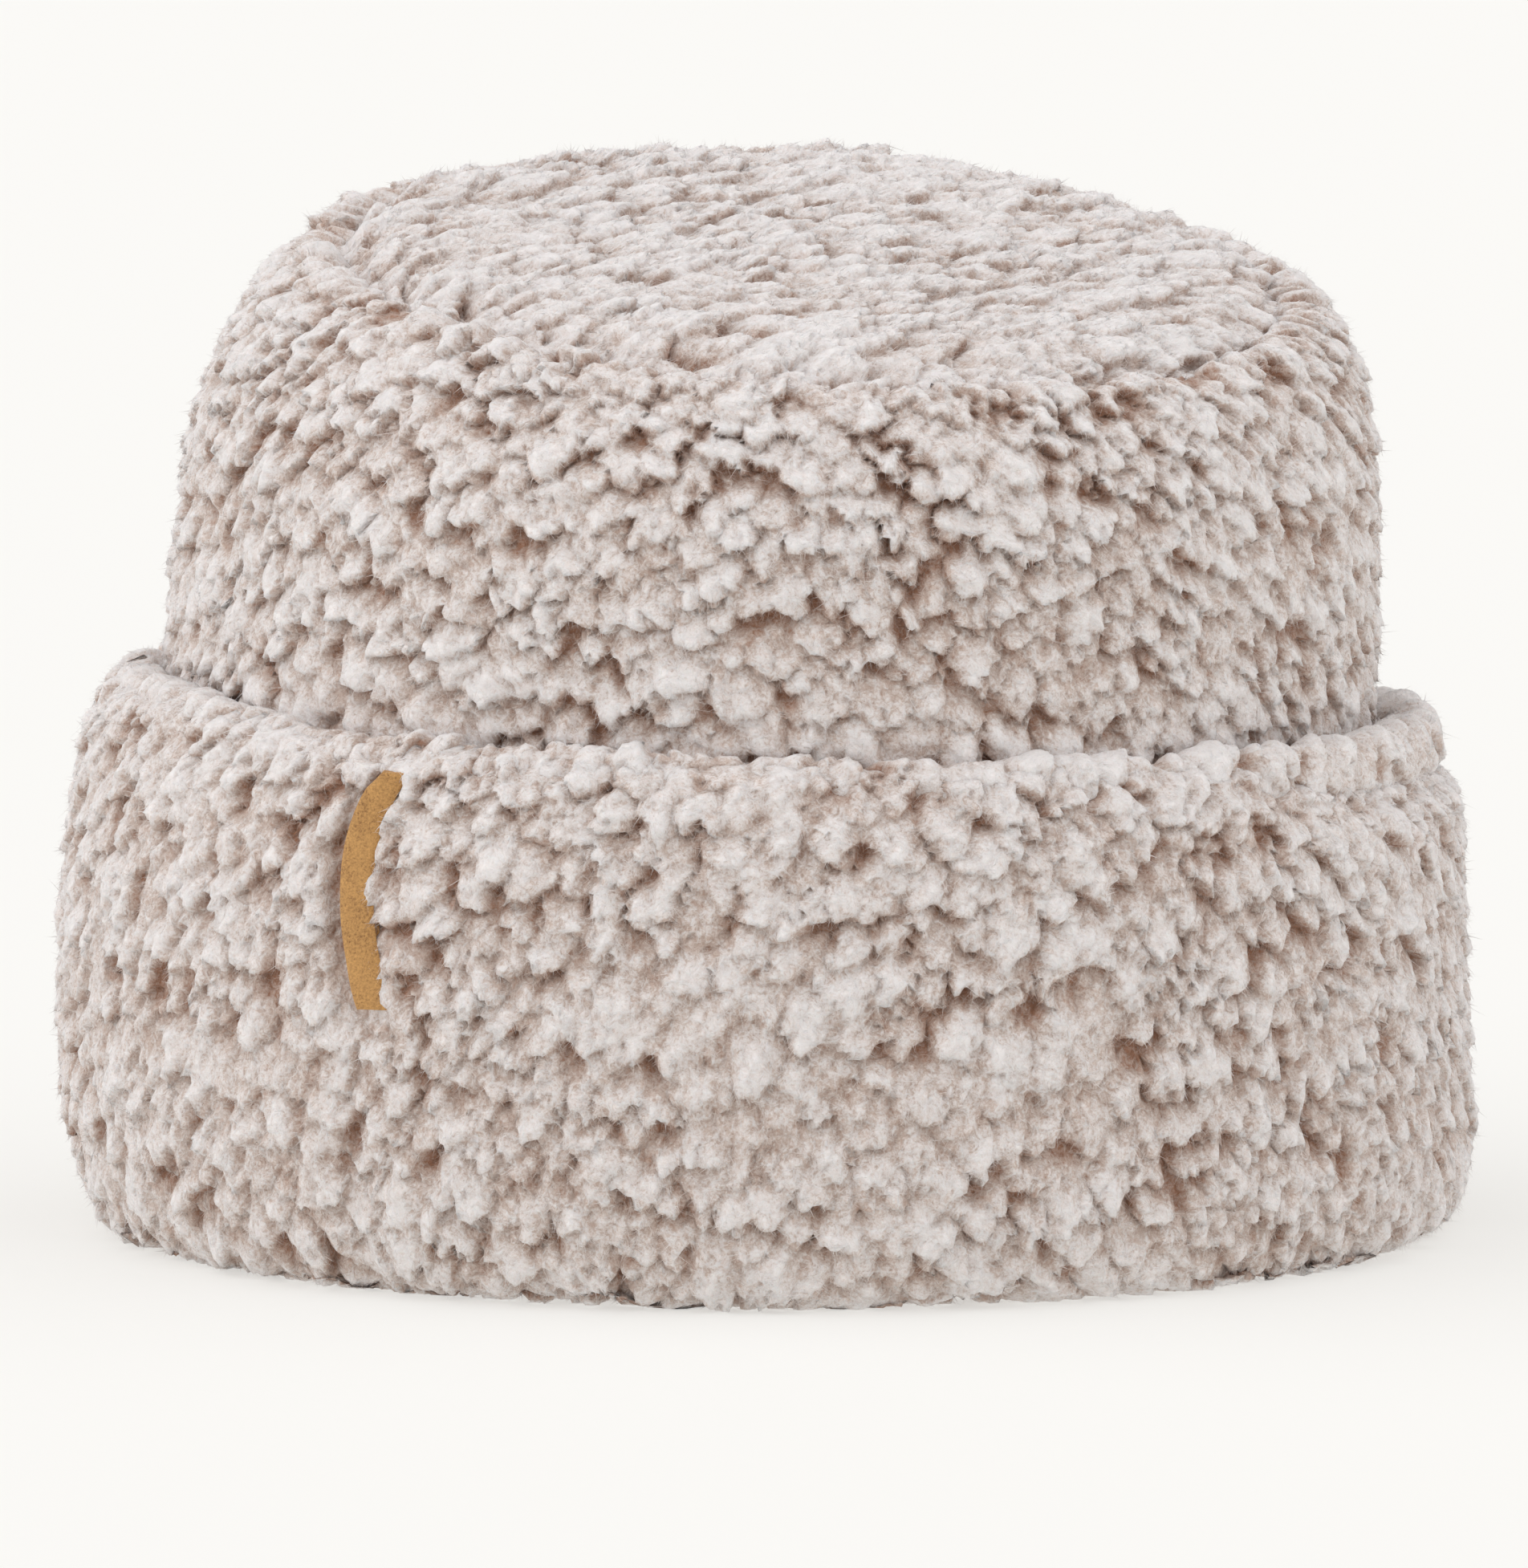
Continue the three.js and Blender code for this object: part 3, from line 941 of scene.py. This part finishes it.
def lay_out_tip(tip):
    """Maps the face over most of the square, and the back in its corner."""
    mesh = tip.data
    flat = mesh.uv_layers.active or mesh.uv_layers.new()
    flat.name = "OFBake"
    points = points_of(tip)
    across = (points[:, 0] - TIP_SHIFT) / TIP_HALF_WIDTH
    along = points[:, 1] / (TIP_HALF_WIDTH + DEPTH_OVER_WIDTH)
    places = np.stack([across, along], axis=1)
    starts = read(mesh.polygons, "loop_start", 1).astype(np.int64)
    totals = read(mesh.polygons, "loop_total", 1).astype(np.int64)
    corners = read(mesh.loops, "vertex_index", 1).astype(np.int64)
    back = np.minimum.reduceat(value_at_points(tip, "pile")[corners], starts) < 0.5
    back = np.repeat(back, totals)[:, None]
    uv = np.where(back, 0.9 + 0.09 * places[corners], 0.4 + 0.39 * places[corners])
    flat.data.foreach_set("uv", uv.astype(np.float32).ravel())


class HAT_OT_brim_facing(bpy.types.Operator):
    """Add the brim's facing, which stands behind the outer cloth and rolls over the rim"""

    bl_idname = "fleece_hat.brim_facing"
    bl_label = "Brim facing"

    def execute(self, context):
        hat = context.scene.fleece_hat
        section = (BRIM_FACING, BRIM_FACING_BACK)
        columns, fibres = hat.cut.facing_columns, hat.cut.facing_fibres
        make_wall("brim_facing", section, columns, fibres, FACING_TUFTS, rim_roll, hat.fleece, 21)
        return {"FINISHED"}


class HAT_OT_brim_outer(bpy.types.Operator):
    """Add the brim's outer cloth, from the head opening round the lower edge to the rim"""

    bl_idname = "fleece_hat.brim_outer"
    bl_label = "Brim outer cloth"

    def execute(self, context):
        hat = context.scene.fleece_hat
        section = (BRIM_OUTER, BRIM_OUTER_BACK)
        columns, fibres = hat.cut.brim_columns, hat.cut.brim_fibres
        make_wall("brim_outer", section, columns, fibres, BRIM_TUFTS, seam_dip, hat.fleece, 31)
        return {"FINISHED"}


class HAT_OT_tab(bpy.types.Operator):
    """Add the folded tab in the brim's seam"""

    bl_idname = "fleece_hat.tab"
    bl_label = "Tab"

    def execute(self, context):
        look = context.scene.fleece_hat.tab
        clear_selection()
        bpy.ops.mesh.primitive_grid_add(x_subdivisions=20, y_subdivisions=26, size=1.0)
        strip = bpy.context.object
        strip.name = strip.data.name = "tab_leather"
        strip.data.uv_layers.active.name = "OFBake"
        flat = points_of(strip)
        fold_strip(strip, flat[:, 0] + 0.5, flat[:, 1] + 0.5, look)
        bpy.ops.object.mode_set(mode="EDIT")
        bpy.ops.mesh.select_all(action="SELECT")
        bpy.ops.mesh.normals_make_consistent(inside=False)
        bpy.ops.object.mode_set(mode="OBJECT")
        bpy.ops.object.modifier_add(type="SOLIDIFY")
        strip.modifiers[-1].thickness = look.thickness
        strip.modifiers[-1].offset = 0.0
        bpy.ops.object.modifier_apply(modifier=strip.modifiers[-1].name)
        bpy.ops.object.modifier_add(type="BEVEL")
        strip.modifiers[-1].width = 0.2 * look.thickness
        strip.modifiers[-1].segments = 2
        bpy.ops.object.modifier_apply(modifier=strip.modifiers[-1].name)
        bpy.ops.object.shade_smooth()
        dress(strip, tab_material(look), "tab", "tab")
        return {"FINISHED"}


def fold_strip(strip, across, along, look):
    """Folds a flat strip in two and lays it on the brim, with its fold away from the seam."""
    radius = 0.75 * look.thickness
    leaf = look.width - radius
    arc = math.pi * radius
    walked = across * (2.0 * leaf + arc)
    turn = np.clip((walked - leaf) / radius, 0.0, math.pi)
    u = np.where(walked < leaf, walked, np.where(walked > leaf + arc, 2.0 * leaf + arc - walked, leaf))
    u = u + radius * np.sin(turn)
    w = radius * (1.0 - np.cos(turn))
    u = u * (1.0 - 0.25 * smooth(along, 0.9, 1.0) + 0.15 * (1.0 - smooth(along, 0.0, 0.25)))
    bow = MM * tab_bow(along)
    height = look.bottom + (look.top - look.bottom) * along
    face = 0.1164 - 0.0044 * smooth(height, 0.052, 0.090)
    lifted = 0.0022 * (u / look.width).clip(0.0, 1.2) ** 0.7 + 0.0003
    half_width = face + lifted + w
    angle = TAB_SEAM - (u + bow) / half_width
    x = half_width * np.sin(angle)
    y = -(half_width + DEPTH_OVER_WIDTH * MM) * np.cos(angle)
    laid = slouched(np.stack([x, y, height], axis=1) / MM) * MM
    move_points(strip, laid)


class HAT_OT_studio(bpy.types.Operator):
    """Add the floor, the light and the camera"""

    bl_idname = "fleece_hat.studio"
    bl_label = "Studio"

    def execute(self, context):
        look = context.scene.fleece_hat.studio
        clear_selection()
        bpy.ops.mesh.primitive_plane_add(size=look.floor_size)
        floor = context.object
        floor.name = "floor"
        n = Nodes("pale floor")
        n.fill(n.surface, {"Base Color": (*look.floor_colour, 1.0), "Roughness": 0.9})
        n.fill(n.surface, {"Specular IOR Level": 0.1, "Emission Strength": look.floor_glow})
        n.fill(n.surface, {"Emission Color": (1.0, 0.992, 0.962, 1.0)})
        floor.data.materials.append(n.material)
        sky = bpy.data.worlds.new("studio sky")
        sky.use_nodes = True
        sky.node_tree.nodes["Background"].inputs["Color"].default_value = (1.0, 0.995, 0.985, 1.0)
        sky.node_tree.nodes["Background"].inputs["Strength"].default_value = look.sky_strength
        context.scene.world = sky
        lamps = (("key light", look.key_strength, -1.0), ("fill light", look.fill_strength, 1.0))
        for name, strength, side in lamps:
            bpy.ops.object.light_add(type="SUN", location=(side, -1.0, 1.5))
            lamp = context.object
            lamp.name = name
            lamp.data.energy = strength
            lamp.data.angle = math.radians(95.0)
            lamp.data.color = (1.0, 0.985, 1.0)
            lamp.rotation_euler = Vector((side, -0.2, 0.9)).to_track_quat("Z", "Y").to_euler()
        aim = Vector((0.0, 0.0, look.aim_height))
        tilt = look.camera_elevation
        back = Vector((0.0, -math.cos(tilt), math.sin(tilt)))
        bpy.ops.object.camera_add(location=aim + look.camera_distance * back)
        camera = context.object
        camera.rotation_euler = back.to_track_quat("Z", "Y").to_euler()
        camera.data.lens = look.lens
        camera.data.clip_end = 200.0
        context.scene.camera = camera
        context.scene.view_settings.view_transform = "Standard"
        return {"FINISHED"}


class HAT_PT_panel(bpy.types.Panel):
    """The hat's settings and the steps that make it"""

    bl_idname = "HAT_PT_panel"
    bl_label = "Fleece Hat"
    bl_space_type = "VIEW_3D"
    bl_region_type = "UI"
    bl_category = "Fleece Hat"

    def draw(self, context):
        hat = context.scene.fleece_hat
        for group in (hat.fleece, hat.cut, hat.tab, hat.studio):
            box = self.layout.box()
            for name in group.__annotations__:
                box.prop(group, name)
        for step in STEPS:
            self.layout.operator(step.bl_idname)


STEPS = (
    HAT_OT_studio,
    HAT_OT_crown_tip,
    HAT_OT_crown_side,
    HAT_OT_brim_facing,
    HAT_OT_brim_outer,
    HAT_OT_tab,
)
CLASSES = (FleeceSettings, CutSettings, TabSettings, StudioSettings, HatSettings, *STEPS, HAT_PT_panel)


def register():
    """Adds the classes and the scene's settings."""
    for item in CLASSES:
        bpy.utils.register_class(item)
    bpy.types.Scene.fleece_hat = PointerProperty(type=HatSettings)


def unregister():
    """Removes them again."""
    del bpy.types.Scene.fleece_hat
    for item in reversed(CLASSES):
        bpy.utils.unregister_class(item)


def main():
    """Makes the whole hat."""
    register()
    for step in STEPS:
        group, name = step.bl_idname.split(".")
        getattr(getattr(bpy.ops, group), name)()


if __name__ == "__main__":
    main()
